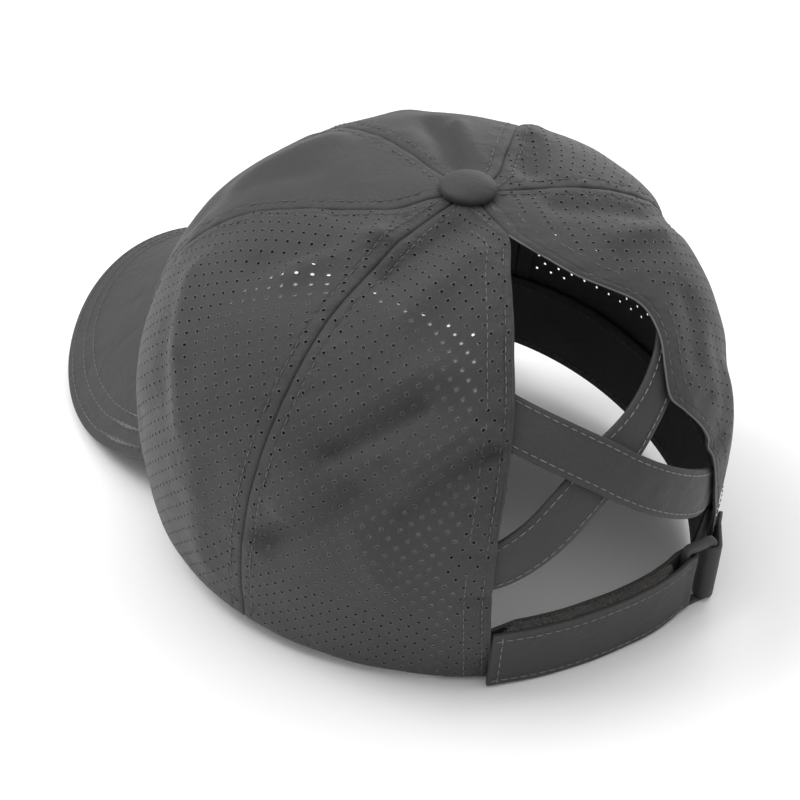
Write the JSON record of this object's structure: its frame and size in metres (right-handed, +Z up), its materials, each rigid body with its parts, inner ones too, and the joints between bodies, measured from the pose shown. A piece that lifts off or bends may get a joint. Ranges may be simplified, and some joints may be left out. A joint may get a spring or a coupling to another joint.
{
  "type": "ponytail cap",
  "caption": "Soft panelled cap with a bent peak, a tall ponytail opening crossed by straps, and an adjusting strap folded through a ring at the back.",
  "frame": {"origin": "on the ground under the middle of the cap's bounding box, as it lies on a flat surface", "axes": "+Y towards the back opening, so the peak points to -Y; +X to the wearer's left; +Z up"},
  "size_m": [0.184, 0.2812, 0.1296],
  "materials": {
    "cloth": "plain charcoal grey woven cloth with a soft sheen",
    "perforated_cloth": "the same charcoal grey cloth, pierced all over with small round holes",
    "band_cloth": "dark plain cloth of the band inside the hem",
    "fastening_tape": "brown black hook and loop pile",
    "ring_plastic": "dark grey moulded plastic, faintly shiny"
  },
  "bodies": {
    "root": {"panel_front_left": "cloth", "panel_front_right": "cloth", "panel_side_left": "perforated_cloth", "panel_side_right": "perforated_cloth", "panel_rear_left": "perforated_cloth", "panel_rear_right": "perforated_cloth", "peak": "cloth", "button": "cloth", "sweatband": "band_cloth", "cross_strap_upper": "cloth", "cross_strap_lower": "cloth", "closure_strap": "cloth", "hook_tape": "fastening_tape", "loop_tape": "fastening_tape", "strap_ring": "ring_plastic", "ring_tab": "cloth"}
  },
  "joints": []
}
